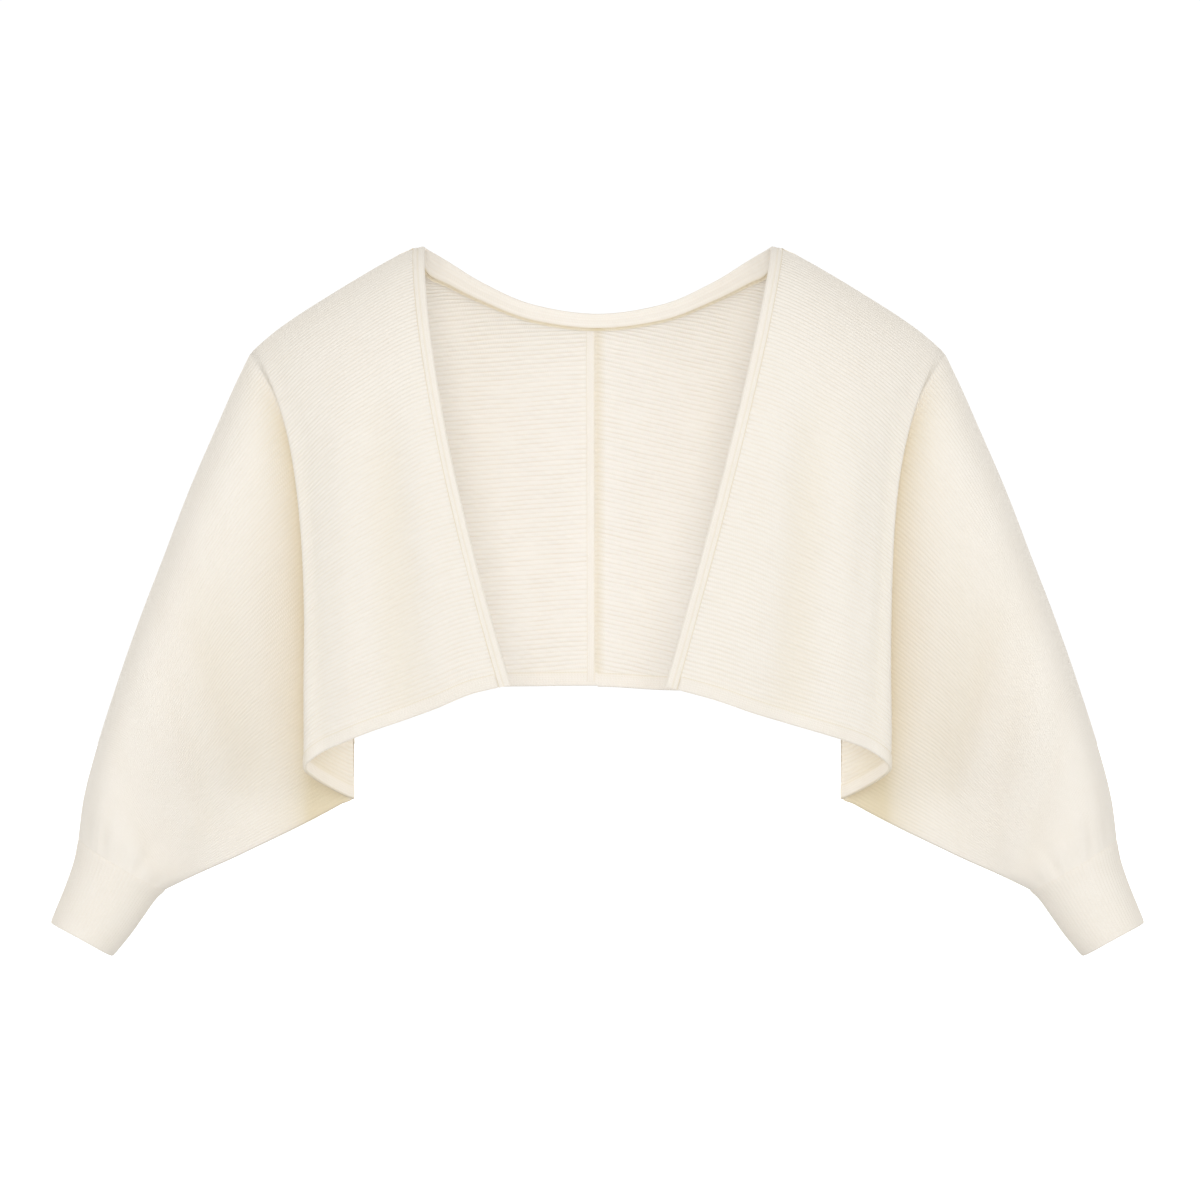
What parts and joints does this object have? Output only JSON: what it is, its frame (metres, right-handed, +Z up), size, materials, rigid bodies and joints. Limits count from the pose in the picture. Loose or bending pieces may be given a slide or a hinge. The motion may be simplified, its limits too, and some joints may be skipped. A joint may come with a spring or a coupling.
{
  "type": "knitted shrug",
  "caption": "Cropped open-front knitted shrug with batwing sleeves, narrow cuffs, a front band that runs round the neck and a band at the hem.",
  "frame": {"origin": "on the centre line, midway between the two neck corners where the shrug rests on the shoulders", "axes": "+Z up, +X towards the wearer's left sleeve, -Y towards the front opening"},
  "size_m": [0.8752, 0.2147, 0.5678],
  "materials": {
    "knit": "matt cream knit with fine ridges",
    "cuff_knit": "matt cream knit, smoother",
    "band_knit": "matt cream knit, folded double"
  },
  "bodies": {
    "root": {"right_front": "knit", "left_front": "knit", "right_back": "knit", "left_back": "knit", "right_cuff": "cuff_knit", "left_cuff": "cuff_knit", "front_band": "band_knit", "right_hem_band": "band_knit", "left_hem_band": "band_knit", "centre_back_seam": "band_knit"}
  },
  "joints": []
}
